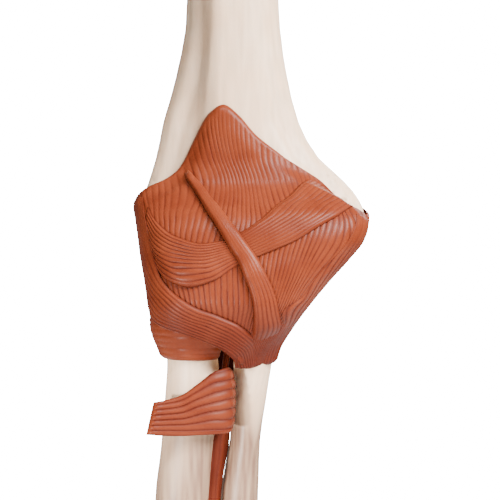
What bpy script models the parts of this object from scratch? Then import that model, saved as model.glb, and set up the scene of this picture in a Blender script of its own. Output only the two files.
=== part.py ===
"""Life-size right elbow joint with its ligaments, as used for teaching.

Lengths are in millimetres in the tables and become metres when a mesh is made. +X is medial (towards the
body), +Y is posterior and +Z is up. The tables are centred on the elbow axis; the whole model then hangs below
its origin, which lies on the sawn top face of the humerus.
"""

import math

import bmesh
import bpy
from mathutils import Matrix, Vector

MM = 0.001

# --- Driving dimensions, in millimetres -------------------------------------------------------------------------
EPICONDYLE_WIDTH = 61.6  # across both epicondyles of the bare humerus
HUMERUS_LENGTH = 110.0  # from the elbow axis up to the sawn face
FOREARM_LENGTH = 105.0  # from the elbow axis down to the sawn faces
JOINT_GAP = 0.6  # between articular surfaces
SOFT_GAP = 0.45  # between a ligament and what it lies on
SHEET = 1.0  # thickness of the capsule and of the flat bands
ROUND_BAND = 1.9  # thickness of the oblique band
ANNULAR = 0.95  # thickness of the annular ligament
TENDON = 2.8  # thickness of the biceps tendon
MEMBRANE = 1.1  # thickness of the interosseous membrane
CORD_RADIUS = 0.9
PIN_RADIUS = 2.0  # of the steel hinge pin
TONGUE = 2.0  # thickness of the steel hinge tongue
TONGUE_WIDTH = 6.0
RIVET_RADIUS = 1.25  # of the pins that hold the tongue in the ulna
FIT_GAP = 0.3  # round steel in its bore, and plate in its slot

# The tables below are written for this width, and every bone and ligament outline scales with it.
TABLE_WIDTH = 61.6
SIZE = EPICONDYLE_WIDTH / TABLE_WIDTH

# --- Places on the elbow axis, as x -----------------------------------------------------------------------------
CAPITULUM_X = -11.0 * SIZE
CAPITULUM_RADIUS = 10.5 * SIZE
TONGUE_X = 10.0 * SIZE  # the bottom of the trochlear groove
TROCHLEA_END_X = 22.0 * SIZE
HEAD_RADIUS = 10.0 * SIZE
FOREARM_AXIS_FOOT = Vector((-8.5, 5.0, -235.0)) * SIZE  # where the ulnar head would be

# --- Outlines: z, left, right, front, back, squareness; the humerus has the height of its front crest too ------
HUMERUS = [
    (-5.0, -16.0, 18.0, -4.0, 4.0, 2.0, 0),
    (-3.0, -20.0, 27.0, -3.5, 8.0, 2.2, 0),
    (0.0, -22.4, 32.5, -3.0, 11.0, 2.3, 0),
    (4.0, -23.7, 35.6, -2.5, 12.3, 2.3, 0),
    (8.5, -24.4, 36.6, -2.2, 12.8, 2.2, 0),
    (12.0, -25.0, 35.9, -2.0, 13.2, 2.1, 0),
    (18.4, -23.2, 31.2, -1.8, 14.2, 2.0, 0),
    (25.0, -21.2, 24.0, -1.5, 15.2, 1.95, 0),
    (34.6, -19.2, 18.6, -1.3, 16.8, 1.9, 0.4),
    (47.5, -15.6, 15.4, -1.2, 18.6, 1.95, 0.9),
    (60.5, -13.1, 13.4, -1.1, 20.0, 2.0, 1.3),
    (90.0, -11.6, 11.9, -1.0, 20.6, 2.0, 1.5),
]
ULNA = [
    (-85.0, -4.3, 7.0, 2.5, 15.2, 2.0),
    (-66.0, -3.0, 7.3, 1.5, 15.5, 2.0),
    (-53.0, -0.6, 7.8, 0.8, 15.8, 2.0),
    (-43.0, 0.0, 9.2, 0.0, 16.0, 2.0),
    (-33.5, 0.4, 10.8, -2.5, 16.8, 2.1),
    (-27.0, 0.2, 12.0, -6.5, 17.6, 2.2),
    (-20.0, -0.3, 14.9, -11.0, 18.5, 2.3),
    (-14.0, -1.2, 17.9, -13.0, 19.4, 2.4),
    (-9.0, -1.5, 19.2, -12.6, 20.2, 2.5),
    (-6.0, -1.5, 19.6, -8.5, 20.6, 2.6),
    (-3.0, -1.5, 19.9, -1.0, 20.9, 2.6),
    (4.0, -1.5, 20.2, 2.0, 21.2, 2.6),
    (8.0, -1.4, 20.2, 2.9, 21.2, 2.6),
    (12.0, -1.2, 20.0, 4.2, 21.0, 2.6),
    (16.0, -0.8, 19.4, 5.6, 20.6, 2.5),
    (18.6, 0.6, 18.0, 7.2, 19.8, 2.3),
    (20.4, 3.6, 15.4, 10.0, 18.0, 2.0),
]
RADIUS = [
    (-85.0, -22.4, -7.9, -7.3, 6.6, 2.0),
    (-66.0, -21.0, -6.2, -7.1, 6.5, 2.0),
    (-53.0, -19.4, -5.1, -6.6, 6.6, 2.0),
    (-45.0, -18.8, -3.5, -6.2, 7.2, 2.1),
    (-38.0, -18.4, -3.1, -6.2, 7.4, 2.1),
    (-33.0, -18.0, -3.6, -6.4, 7.6, 2.0),
    (-28.0, -17.9, -3.9, -6.5, 7.5, 2.0),
    (-23.5, -18.1, -3.5, -6.8, 7.6, 2.0),
    (-20.5, -19.5, -2.3, -8.2, 9.0, 2.0),
    (-18.5, -20.6, -1.0, -9.4, 10.2, 2.0),
    (-17.0, -20.9, -0.8, -9.7, 10.3, 2.0),
    (-12.0, -21.0, -0.9, -9.8, 10.2, 2.0),
    (-10.8, -20.6, -1.3, -9.5, 9.9, 2.0),
    (-10.2, -19.6, -2.3, -8.5, 8.9, 2.0),
]
# The inside of the joint capsule: it clears every bone that it wraps.
CAPSULE = [
    (-34.0, -18.5, 10.6, -8.0, 16.0, 2.6),
    (-27.0, -19.4, 12.0, -9.6, 14.5, 2.8),
    (-20.0, -20.6, 16.0, -13.2, 13.8, 3.0),
    (-14.0, -21.2, 20.4, -15.4, 13.8, 3.0),
    (-8.0, -22.2, 25.4, -15.4, 13.8, 3.0),
    (-2.0, -23.4, 31.0, -14.4, 13.7, 3.0),
    (3.0, -24.2, 35.0, -13.4, 13.7, 3.0),
    (8.0, -25.0, 37.0, -11.2, 13.9, 2.8),
    (12.0, -25.6, 36.5, -7.6, 14.1, 2.5),
    (18.4, -23.8, 31.8, -3.4, 15.1, 2.2),
    (25.0, -21.8, 24.6, -2.2, 16.0, 2.0),
    (34.6, -19.8, 19.2, -2.2, 17.6, 1.95),
    (47.5, -16.2, 16.0, -2.4, 19.4, 1.95),
]
CREST_X, CREST_HALF_WIDTH = -6.5, 4.0  # of the ridge down the front of the humerus

# The trochlea and capitulum, turned about the elbow axis: x and radius. The capitulum itself is an arc.
TROCHLEA = [(-2.6, 8.7), (-1.0, 9.2), (0.8, 9.8), (3.0, 9.4), (6.5, 8.6), (10.0, 8.2)]
TROCHLEA += [(13.5, 8.8), (17.0, 10.4), (19.8, 12.2), (21.2, 12.3), (22.0, 11.4)]
CAPITULUM_ARC = (138.0, 52.0)  # degrees round the capitulum's centre, from its outer edge to the trochlea

# --- Ligament outlines, as pairs of edges in x and z, seen from the front unless said ---------------------------
CAPSULE_TOP = [(-26.0, 12.0), (-24.0, 15.0), (-16.5, 19.8), (-10.3, 30.0), (-2.7, 38.8), (4.0, 34.0)]
CAPSULE_TOP += [(14.0, 23.6), (21.0, 18.3), (28.0, 13.6), (33.0, 10.6), (36.4, 8.6)]
CAPSULE_FOOT = [(-23.0, -10.4), (-21.0, -11.6), (-18.0, -13.6), (-14.0, -16.4), (-9.0, -18.8), (-4.0, -20.8)]
CAPSULE_FOOT += [(1.0, -24.0), (4.0, -27.6), (6.5, -29.4), (9.0, -30.0), (12.0, -29.4)]
TRANSVERSE_TOP = [(21.5, 15.8), (15.6, 13.0), (10.3, 9.0), (3.5, 4.3), (-4.6, 2.2), (-8.6, 1.3), (-15.4, 2.2)]
TRANSVERSE_TOP += [(-20.6, 5.6)]
TRANSVERSE_FOOT = [(33.0, 8.6), (26.5, 6.0), (18.4, 2.7), (10.3, -1.0), (3.5, -2.7), (-1.9, -8.6), (-10.0, -11.6)]
TRANSVERSE_FOOT += [(-18.2, -6.8)]
OBLIQUE_UPPER = [(-12.0, 21.4), (-6.9, 14.3), (-2.2, 7.6), (2.6, 2.7), (6.2, -3.4), (9.0, -11.0), (10.4, -17.6)]
OBLIQUE_LOWER = [(-14.6, 18.4), (-9.9, 11.6), (-5.4, 4.6), (-1.2, -0.4), (1.6, -5.0), (3.6, -11.6), (5.0, -17.4)]
OBLIQUE_LIFT = [0.0, 0.2, 1.0, 1.0, 1.0, 0.2, 0.0]  # shares of the step over the transverse band
RADIAL_INNER = [(-23.4, 10.4), (-22.4, 4.0), (-21.4, -3.0), (-19.4, -8.6), (-15.5, -13.0), (-10.5, -15.6)]
RADIAL_INNER += [(-4.0, -18.4), (1.6, -20.8), (5.0, -23.4), (7.4, -27.0)]
RADIAL_OUTER = [(-26.2, 9.6), (-25.4, 2.0), (-23.6, -5.0), (-21.6, -12.0), (-19.4, -18.4), (-14.6, -20.9)]
RADIAL_OUTER += [(-10.0, -22.5), (-5.6, -24.6), (-2.2, -27.5), (0.4, -30.6)]
ULNAR_INNER = [(33.6, 6.8), (26.6, -1.4), (19.6, -10.4), (13.6, -18.6), (8.8, -27.4)]
ULNAR_OUTER = [(35.8, 5.4), (30.0, -2.8), (23.4, -11.0), (17.2, -18.8), (11.6, -27.6)]
# These three lie on the back.
POSTERIOR_TOP = [(-19.8, 19.0), (-14.0, 25.4), (-4.0, 30.0), (8.0, 31.6), (17.0, 27.4), (24.0, 20.6)]
POSTERIOR_FOOT = [(-15.0, 15.0), (-8.0, 18.6), (-3.0, 21.8), (8.0, 23.4), (18.4, 22.0), (24.6, 13.4)]
LATERAL_BACK_INNER = [(-17.0, 12.6), (-9.4, 8.0), (-5.0, 0.0), (-3.0, -10.0), (-1.6, -21.0), (0.6, -30.0)]
LATERAL_BACK_INNER += [(1.4, -37.0)]
LATERAL_BACK_OUTER = [(-25.2, 9.0), (-22.0, 0.0), (-18.4, -8.0), (-13.4, -16.0), (-9.4, -23.0), (-6.0, -30.0)]
LATERAL_BACK_OUTER += [(-4.4, -36.0)]
MEDIAL_BACK_INNER = [(27.0, 13.0), (23.8, 8.0), (22.8, 0.0), (22.2, -8.0)]
MEDIAL_BACK_OUTER = [(34.0, 9.6), (32.6, 4.0), (28.8, -3.4), (24.2, -9.6)]

# The annular ligament's inside, turned about the forearm axis: z and the distance from the head or neck.
ANNULAR_PROFILE = [(-13.2, 10.3), (-18.0, 10.3), (-21.0, 9.9), (-24.5, 9.0), (-27.5, 8.2), (-29.4, 7.9)]
ANNULAR_FROM, ANNULAR_TO = 39.0, 323.0  # degrees from medial, through the back, round to the front

# The biceps tendon leaves the tuberosity between the bones and folds forwards over the radius: x, y, top, foot.
TENDON_PATH = [
    (-1.2, 1.6, -35.6, -49.0),
    (-0.4, -2.4, -34.4, -50.0),
    (-0.7, -6.4, -34.0, -50.6),
    (-4.6, -9.4, -35.4, -50.9),
    (-11.0, -10.6, -38.4, -50.8),
    (-17.5, -11.4, -40.4, -50.6),
    (-22.6, -12.2, -41.2, -50.0),
]
MEMBRANE_TOP = -50.0
CORD_TOP, CORD_FOOT = -27.0, -53.0

# --- Colours ----------------------------------------------------------------------------------------------------
BONE = ("cast_bone", (0.83, 0.75, 0.68), 0.42, 0.0)
LIGAMENT = ("vinyl_ligament", (0.62, 0.2, 0.11), 0.4, 0.0)
STEEL = ("pin_steel", (0.62, 0.63, 0.65), 0.3, 1.0)

# --- Mesh detail ------------------------------------------------------------------------------------------------
BONE_SIDES = 28
RINGS_PER_ROW = 2
TURN_STEPS = 36
PIN_STEPS = 20


# === Curves and outlines ========================================================================================
def rising_slopes(ats, values):
    """Slopes that keep a cubic through the values from overshooting them."""
    steps = [(b - a) / (q - p) for p, q, a, b in zip(ats, ats[1:], values, values[1:])]
    inner = [0.0 if a * b <= 0 else 2 * a * b / (a + b) for a, b in zip(steps, steps[1:])]
    return [steps[0], *inner, steps[-1]]


def smooth_value(ats, values, at):
    """The smooth curve through the values, at one place; straight on past either end."""
    slopes = rising_slopes(ats, values)
    if at <= ats[0]:
        return values[0] + slopes[0] * (at - ats[0])
    if at >= ats[-1]:
        return values[-1] + slopes[-1] * (at - ats[-1])
    k = max(i for i in range(len(ats) - 1) if ats[i] <= at)
    h = ats[k + 1] - ats[k]
    t = (at - ats[k]) / h
    return (
        values[k] * (1 + 2 * t) * (1 - t) ** 2
        + slopes[k] * h * t * (1 - t) ** 2
        + values[k + 1] * t * t * (3 - 2 * t)
        + slopes[k + 1] * h * t * t * (t - 1)
    )


def section_at(rows, z):
    """One outline of a bone at height z, as left, right, front, back, squareness and so on, at full size."""
    ats = [row[0] for row in rows]
    found = [smooth_value(ats, [row[k] for row in rows], z / SIZE) for k in range(1, len(rows[0]))]
    return [value * SIZE if k < 4 else value for k, value in enumerate(found)]


def middle_of(section):
    left, right, front, back = section[:4]
    return (left + right) / 2, (front + back) / 2


def outline_point(section, angle):
    """The point of an outline in the direction angle, counted from +X towards +Y."""
    left, right, front, back, squareness = section[:5]
    x, y = middle_of(section)
    power = 2 / squareness
    c, s = math.cos(angle), math.sin(angle)
    x += (right - left) / 2 * math.copysign(abs(c) ** power, c)
    y += (back - front) / 2 * math.copysign(abs(s) ** power, s)
    if len(section) > 5 and s < 0:
        y -= section[5] * SIZE * math.exp(-(((x / SIZE - CREST_X) / CREST_HALF_WIDTH) ** 2))
    return x, y


def spread_along(points, count):
    """Points spaced evenly along the smooth curve through the given ones."""
    ats = [0.0]
    for a, b in zip(points, points[1:]):
        ats.append(ats[-1] + math.dist(a, b))
    columns = [[point[k] for point in points] for k in range(len(points[0]))]
    spots = [ats[-1] * i / (count - 1) for i in range(count)]
    return [tuple(smooth_value(ats, column, at) for column in columns) for at in spots]


def capsule_point(x, z, side, offset):
    """The point over x, z on the capsule's inside, moved out by offset. side is -1 in front and 1 at the back."""

    def beyond(px, py, pz):
        left, right, front, back, squareness = section_at(CAPSULE, pz)
        cx, cy = middle_of((left, right, front, back))
        across = abs(2 * (px - cx) / (right - left))
        deep = abs(2 * (py - cy) / (back - front))
        return across**squareness + deep**squareness

    left, right, front, back, squareness = section_at(CAPSULE, z)
    cx, cy = middle_of((left, right, front, back))
    share = max(-0.998, min(0.998, 2 * (x - cx) / (right - left)))
    x = cx + share * (right - left) / 2
    y = cy + side * (back - front) / 2 * (1 - abs(share) ** squareness) ** (1 / squareness)
    step = 0.05
    normal = Vector(
        (
            beyond(x + step, y, z) - beyond(x - step, y, z),
            beyond(x, y + step, z) - beyond(x, y - step, z),
            beyond(x, y, z + step) - beyond(x, y, z - step),
        )
    )
    return Vector((x, y, z)) + offset * normal.normalized()


def axis_point(z):
    """The point of the forearm's turning axis at height z."""
    top = Vector((CAPITULUM_X, 0, 0))
    return top + (FOREARM_AXIS_FOOT - top) * (z / FOREARM_AXIS_FOOT.z)


def sawn_face_centre():
    """The middle of the humerus's top face, where the model is held and its origin lies."""
    return Vector((*middle_of(section_at(HUMERUS, HUMERUS_LENGTH)), HUMERUS_LENGTH))


# === Objects ====================================================================================================
def clear_scene():
    for old in list(bpy.data.objects):
        bpy.data.objects.remove(old, do_unlink=True)


def material(finish):
    name, colour, roughness, metallic = finish
    made = bpy.data.materials.get(name)
    if made is None:
        made = bpy.data.materials.new(name)
        made.use_nodes = True
        shader = made.node_tree.nodes["Principled BSDF"]
        shader.inputs["Base Color"].default_value = (*colour, 1.0)
        shader.inputs["Roughness"].default_value = roughness
        shader.inputs["Metallic"].default_value = metallic
    return made


def pivot(name, place, parent=None):
    """An empty that a moving piece hangs from, on its joint's axis. Place is from the elbow axis."""
    empty = bpy.data.objects.new(name, None)
    bpy.context.scene.collection.objects.link(empty)
    empty.empty_display_size = 0.02
    empty["from_elbow"] = tuple(place)
    empty.parent = parent
    above = Vector(parent["from_elbow"]) if parent else sawn_face_centre()
    empty.location = (Vector(place) - above) * MM
    return empty


def add_object(name, bm, finish, parent):
    """An object whose origin is its pivot, from a mesh drawn in millimetres about the elbow axis."""
    bmesh.ops.recalc_face_normals(bm, faces=bm.faces)
    bm.transform(Matrix.Scale(MM, 4) @ Matrix.Translation(-Vector(parent["from_elbow"])))
    mesh = bpy.data.meshes.new(name)
    bm.to_mesh(mesh)
    bm.free()
    mesh.shade_smooth()
    mesh.set_sharp_from_angle(angle=math.radians(40))
    made = bpy.data.objects.new(name, mesh)
    bpy.context.scene.collection.objects.link(made)
    made.parent = parent
    if finish:
        mesh.materials.append(material(finish))
    return made


def add_tool(name, bm, parent):
    """A cutter, or a shape that is joined on. It isn't part of the model."""
    tool = add_object(name, bm, None, parent)
    tool.hide_render = True
    tool.display_type = "WIRE"
    return tool


def boolean(target, tool, operation="DIFFERENCE"):
    cut = target.modifiers.new(f"{operation.lower()} {tool.name}", "BOOLEAN")
    cut.operation = operation
    cut.object = tool
    cut.solver = "EXACT"


# === Shapes =====================================================================================================
def skin(rings):
    """A closed solid through rings of points, with a flat face on the first and the last."""
    bm = bmesh.new()
    loops = [[bm.verts.new(point) for point in ring] for ring in rings]
    for low, high in zip(loops, loops[1:]):
        for k in range(len(low)):
            following = (k + 1) % len(low)
            bm.faces.new((low[k], low[following], high[following], high[k]))
    bm.faces.new(loops[0])
    bm.faces.new(loops[-1])
    return bm


def bone(rows, end=None):
    """A bone lofted through its outlines. end is the height of a sawn face beyond the table's first or last row."""
    heights = [row[0] * SIZE for row in rows]
    if end is not None:
        heights = [end, *heights] if end < heights[0] else [*heights, end]
    rings = []
    for k, (low, high) in enumerate(zip(heights, heights[1:])):
        parts = RINGS_PER_ROW
        steps = range(parts + 1) if k == len(heights) - 2 else range(parts)
        rings += [low + (high - low) * step / parts for step in steps]
    angles = turn_angles(BONE_SIDES)
    return skin([[(*outline_point(section_at(rows, z), a), z) for a in angles] for z in rings])


def turn_angles(steps):
    return [2 * math.pi * k / steps for k in range(steps)]


def turned(profile, steps, centre=Vector()):
    """A solid turned about the line through centre along X. profile is x and radius."""
    angles = turn_angles(steps)
    return skin([[centre + Vector((x, r * math.cos(a), r * math.sin(a))) for a in angles] for x, r in profile])


def rod(start, end, radius, steps=PIN_STEPS):
    return turned([(start.x, radius), (end.x, radius)], steps, Vector((0, start.y, start.z)))


def articular_profile(grow=0.0):
    """The trochlea and capitulum as x and radius, each surface grown outwards."""
    first, last = CAPITULUM_ARC
    angles = [math.radians(first + (last - first) * k / 8) for k in range(9)]
    swell = CAPITULUM_RADIUS + grow
    profile = [(CAPITULUM_X + swell * math.cos(a), swell * math.sin(a)) for a in angles]
    trochlea = [(x * SIZE, radius * SIZE + grow) for x, radius in TROCHLEA]
    profile = [point for point in profile if point[0] < trochlea[0][0]] + trochlea
    if grow:
        profile = [(profile[0][0] - grow, profile[0][1]), *profile, (profile[-1][0] + grow, profile[-1][1])]
    return profile


def extruded(outline, left, right):
    """A solid between two x planes, from an outline of y and z."""
    return skin([[(x, y, z) for y, z in outline] for x in (left, right)])


def sector(start, end, radius, steps=12):
    """A pie slice of y and z about the elbow axis, its angles counted from +Y towards +Z."""
    angles = [math.radians(start + (end - start) * k / steps) for k in range(steps + 1)]
    return [(0.0, 0.0), *((radius * math.cos(a), radius * math.sin(a)) for a in angles)]


def shell(outer, inner):
    """A closed sheet between two grids of points that match."""
    bm = bmesh.new()
    faces = [[[bm.verts.new(point) for point in row] for row in grid] for grid in (outer, inner)]
    rows, columns = len(outer), len(outer[0])
    for grid in faces:
        for i in range(rows - 1):
            for j in range(columns - 1):
                bm.faces.new((grid[i][j], grid[i + 1][j], grid[i + 1][j + 1], grid[i][j + 1]))
    rim = [(0, j) for j in range(columns)] + [(i, columns - 1) for i in range(1, rows)]
    rim += [(rows - 1, j) for j in range(columns - 2, -1, -1)] + [(i, 0) for i in range(rows - 2, 0, -1)]
    top, under = faces
    for (i, j), (k, m) in zip(rim, rim[1:] + rim[:1]):
        bm.faces.new((top[i][j], under[i][j], under[k][m], top[k][m]))
    return bm


def band(edge_a, edge_b, along, across, low, high, side=-1, lift=None):
    """A flat band on the capsule between two edges, from low to high above the capsule's inside."""
    lifts = [(share,) for share in lift] if lift else [(0.0,)] * len(edge_a)
    step = SHEET + SOFT_GAP
    a, b = (
        spread_along([(x * SIZE, z * SIZE, *up) for (x, z), up in zip(edge, lifts)], along)
        for edge in (edge_a, edge_b)
    )
    grids = []
    for height in (high, low):
        grid = []
        for (ax, az, up), (bx, bz, _) in zip(a, b):
            shares = [k / (across - 1) for k in range(across)]
            grid.append(
                [
                    capsule_point(ax + (bx - ax) * t, az + (bz - az) * t, side, height + up * step)
                    for t in shares
                ]
            )
        grids.append(grid)
    return shell(*grids)


# === The bones ==================================================================================================
def make_humerus(hub):
    humerus = add_object("humerus", bone(HUMERUS, HUMERUS_LENGTH), BONE, hub)
    left, right = (-1.5 - 1.2) * SIZE, (20.5 + 1.2) * SIZE
    fossa = add_tool("olecranon_fossa_cutter", extruded(sector(-100, 76, 28 * SIZE), left, right), hub)
    dip = add_tool("coronoid_fossa_cutter", extruded(sector(90, 188, 17.8 * SIZE), left, right), hub)
    for cutter, width in ((fossa, 2.5), (dip, 2.0)):
        rounding = cutter.modifiers.new("rounding", "BEVEL")
        rounding.width = width * SIZE * MM
        rounding.segments = 2
        rounding.limit_method = "ANGLE"
        boolean(humerus, cutter)
    articular = add_tool("articular_surface", turned(articular_profile(), TURN_STEPS), hub)
    boolean(humerus, articular, "UNION")
    # Half a step round, so that the slot's corners never line up with those of the turned trochlea.
    reach, half_step = CAPITULUM_RADIUS * 0.86, math.pi / TURN_STEPS
    slot = [(reach * math.cos(a + half_step), reach * math.sin(a + half_step)) for a in turn_angles(TURN_STEPS)]
    half = TONGUE / 2 + FIT_GAP
    boolean(humerus, add_tool("tongue_slot_cutter", extruded(slot, TONGUE_X - half, TONGUE_X + half), hub))
    start, end = Vector((pin_start() - FIT_GAP, 0, 0)), Vector((EPICONDYLE_WIDTH, 0, 0))
    boolean(humerus, add_tool("pin_bore_cutter", rod(start, end, PIN_RADIUS + FIT_GAP), hub))


def make_ulna(hub):
    ulna = add_object("ulna", bone(ULNA, -FOREARM_LENGTH), BONE, hub)
    notch = turned(articular_profile(JOINT_GAP), TURN_STEPS)
    boolean(ulna, add_tool("trochlear_notch_cutter", notch, hub))
    seat = HEAD_RADIUS + JOINT_GAP
    rings = [
        [axis_point(z) + Vector((seat * math.cos(a), seat * math.sin(a), 0)) for a in turn_angles(TURN_STEPS)]
        for z in (-8.6 * SIZE, -21.0 * SIZE)
    ]
    boolean(ulna, add_tool("radial_notch_cutter", skin(rings), hub))
    half, deep = TONGUE / 2 + FIT_GAP, TONGUE_WIDTH / 2 + FIT_GAP
    outline = [(-deep, 0), (deep, 0), (deep, tongue_foot() - FIT_GAP), (-deep, tongue_foot() - FIT_GAP)]
    boolean(ulna, add_tool("tongue_seat_cutter", extruded(outline, TONGUE_X - half, TONGUE_X + half), hub))
    for k, z in enumerate(rivet_heights()):
        start, end = rivet_ends(z)
        hole = rod(start - Vector((FIT_GAP, 0, 0)), end + Vector((10 * SIZE, 0, 0)), RIVET_RADIUS + FIT_GAP)
        boolean(ulna, add_tool(f"rivet_bore_cutter_{k}", hole, hub))


def make_radius(hub):
    radius = add_object("radius", bone(RADIUS, -FOREARM_LENGTH), BONE, hub)
    cup = CAPITULUM_RADIUS + JOINT_GAP
    ball = bmesh.new()
    bmesh.ops.create_uvsphere(ball, u_segments=24, v_segments=16, radius=cup)
    ball.transform(Matrix.Translation((CAPITULUM_X, 0, 0)))
    boolean(radius, add_tool("head_cup_cutter", ball, hub))


# === The hinge inside the trochlea ==============================================================================
def pin_start():
    return TONGUE_X - 12.0 * SIZE


def tongue_foot():
    return -23.5 * SIZE


def rivet_heights():
    return (-13.8 * SIZE, -19.0 * SIZE)


def rivet_ends(z):
    """A rivet's ends: inside the ulna on the radial side, and just under its surface on the other."""
    surface = max(outline_point(section_at(ULNA, z), a)[0] for a in (0.0, math.radians(-20), math.radians(-40)))
    return Vector((TONGUE_X - 6.0 * SIZE, 0, z)), Vector((surface - 1.6 * SIZE, 0, z))


def make_hinge(humerus_hub, ulna_hub):
    trochlea_end = TROCHLEA_END_X - 0.5 * SIZE
    pin = rod(Vector((pin_start(), 0, 0)), Vector((trochlea_end, 0, 0)), PIN_RADIUS)
    add_object("hinge_pin", pin, STEEL, humerus_hub)
    plug_start = trochlea_end + FIT_GAP
    plug = rod(Vector((plug_start, 0, 0)), Vector((plug_start + 7.0 * SIZE, 0, 0)), PIN_RADIUS)
    add_object("hinge_pin_plug", plug, BONE, humerus_hub)

    eye = TONGUE_WIDTH / 2 + 1.0
    side = [(eye * math.cos(a), eye * math.sin(a)) for a in (math.radians(-45 + 15 * k) for k in range(19))]
    outline = [(TONGUE_WIDTH / 2, tongue_foot()), (TONGUE_WIDTH / 2, side[0][1] - 1), *side]
    outline += [(-TONGUE_WIDTH / 2, side[-1][1] - 1), (-TONGUE_WIDTH / 2, tongue_foot())]
    plate = extruded(outline, TONGUE_X - TONGUE / 2, TONGUE_X + TONGUE / 2)
    tongue = add_object("hinge_tongue", plate, STEEL, ulna_hub)
    reach = Vector((TONGUE * 2, 0, 0))
    centre = Vector((TONGUE_X, 0, 0))
    eye_hole = rod(centre - reach, centre + reach, PIN_RADIUS + FIT_GAP)
    boolean(tongue, add_tool("tongue_eye_cutter", eye_hole, ulna_hub))
    for k, z in enumerate(rivet_heights()):
        at = Vector((TONGUE_X, 0, z))
        hole = rod(at - reach, at + reach, RIVET_RADIUS + FIT_GAP)
        boolean(tongue, add_tool(f"tongue_hole_cutter_{k}", hole, ulna_hub))
    for name, z in zip(("tongue_rivet_upper", "tongue_rivet_lower"), rivet_heights()):
        add_object(name, rod(*rivet_ends(z), RIVET_RADIUS), STEEL, ulna_hub)


# === The ligaments ==============================================================================================
def make_capsule(hub):
    """The bands of the joint capsule. The first layer is the sheet itself, the second the bands on it."""
    second = SHEET + SOFT_GAP
    layers = {
        "anterior_capsule": band(CAPSULE_TOP, CAPSULE_FOOT, 34, 14, 0.0, SHEET),
        "transverse_band": band(TRANSVERSE_TOP, TRANSVERSE_FOOT, 26, 5, second, second + SHEET),
        "oblique_band": band(
            OBLIQUE_UPPER, OBLIQUE_LOWER, 18, 4, second, second + ROUND_BAND, lift=OBLIQUE_LIFT
        ),
        "radial_collateral_ligament": band(RADIAL_INNER, RADIAL_OUTER, 26, 5, second, second + SHEET),
        "ulnar_collateral_ligament": band(ULNAR_INNER, ULNAR_OUTER, 16, 4, second, second + SHEET),
        "posterior_capsule": band(POSTERIOR_TOP, POSTERIOR_FOOT, 20, 5, 0.0, SHEET, side=1),
        "lateral_ulnar_collateral_ligament": band(
            LATERAL_BACK_INNER, LATERAL_BACK_OUTER, 18, 6, second, second + SHEET, side=1
        ),
        "ulnar_collateral_posterior_band": band(
            MEDIAL_BACK_INNER, MEDIAL_BACK_OUTER, 10, 5, 0.0, SHEET, side=1
        ),
    }
    for name, bm in layers.items():
        add_object(name, bm, LIGAMENT, hub)


def make_annular_ligament(hub):
    profile = spread_along(ANNULAR_PROFILE, 9)
    steps = 24
    angles = [math.radians(ANNULAR_FROM + (ANNULAR_TO - ANNULAR_FROM) * k / steps) for k in range(steps + 1)]
    grids = []
    for grow in (SOFT_GAP * 0.3 + ANNULAR, SOFT_GAP * 0.3):
        grid = []
        for z, radius in profile:
            reach = radius * SIZE + grow
            centre = axis_point(z * SIZE)
            grid.append([centre + Vector((reach * math.cos(a), reach * math.sin(a), 0)) for a in angles])
        grids.append(grid)
    add_object("annular_ligament", shell(*grids), LIGAMENT, hub)


def facing_points(z, gap):
    """Where the radius and the ulna face each other at height z, each moved gap into the space between them."""
    sections = [section_at(rows, z) for rows in (RADIUS, ULNA)]
    middles = [Vector(middle_of(section)) for section in sections]
    found = []
    for k, section in enumerate(sections):
        wanted = middles[1 - k] - middles[k]
        angles = [math.radians(2 * step) for step in range(180)]
        points = [Vector(outline_point(section, a)) for a in angles]
        best = max(points, key=lambda p: (p - middles[k]).normalized().dot(wanted.normalized()))
        found.append(best + wanted.normalized() * gap)
    return found


def make_interosseous_membrane(hub):
    top, foot = MEMBRANE_TOP * SIZE, -FOREARM_LENGTH + 2.0 * SIZE
    rings = []
    for k in range(13):
        z = top + (foot - top) * k / 12
        at_radius, at_ulna = facing_points(z, SOFT_GAP)
        across = at_ulna - at_radius
        thick = Vector((-across.y, across.x)).normalized() * MEMBRANE / 2
        corners = (at_radius + thick, at_radius - thick, at_ulna - thick, at_ulna + thick)
        rings.append([(*corner, z) for corner in corners])
    add_object("interosseous_membrane", skin(rings), LIGAMENT, hub)


def make_oblique_cord(hub):
    """A thin cord from the side of the ulna, behind the biceps tendon, down to the radius."""
    inset = CORD_RADIUS + SOFT_GAP
    behind = Vector((0, 4.6)) * SIZE
    top = facing_points(CORD_TOP * SIZE, inset)[1] + behind * 0.6
    foot = facing_points(CORD_FOOT * SIZE, inset)[0] + behind * 0.5
    start, end = Vector((*top, CORD_TOP * SIZE)), Vector((*foot, CORD_FOOT * SIZE))
    rings = [
        [
            start.lerp(end, k / 6) + CORD_RADIUS * Vector((math.cos(a), math.sin(a), 0))
            for a in turn_angles(10)
        ]
        for k in range(7)
    ]
    add_object("oblique_cord", skin(rings), LIGAMENT, hub)


def make_biceps_tendon(hub):
    path = [tuple(value * SIZE for value in row) for row in TENDON_PATH]
    rows = spread_along(path, 20)
    rings = []
    for k, (x, y, top, foot) in enumerate(rows):
        before, after = rows[max(k - 1, 0)], rows[min(k + 1, len(rows) - 1)]
        along = Vector((after[0] - before[0], after[1] - before[1])).normalized()
        across = Vector((-along.y, along.x)) * TENDON / 2
        rings.append(
            [
                (x + across.x, y + across.y, foot),
                (x + across.x, y + across.y, top),
                (x - across.x, y - across.y, top),
                (x - across.x, y - across.y, foot),
            ]
        )
    add_object("biceps_tendon", skin(rings), LIGAMENT, hub)


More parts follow.
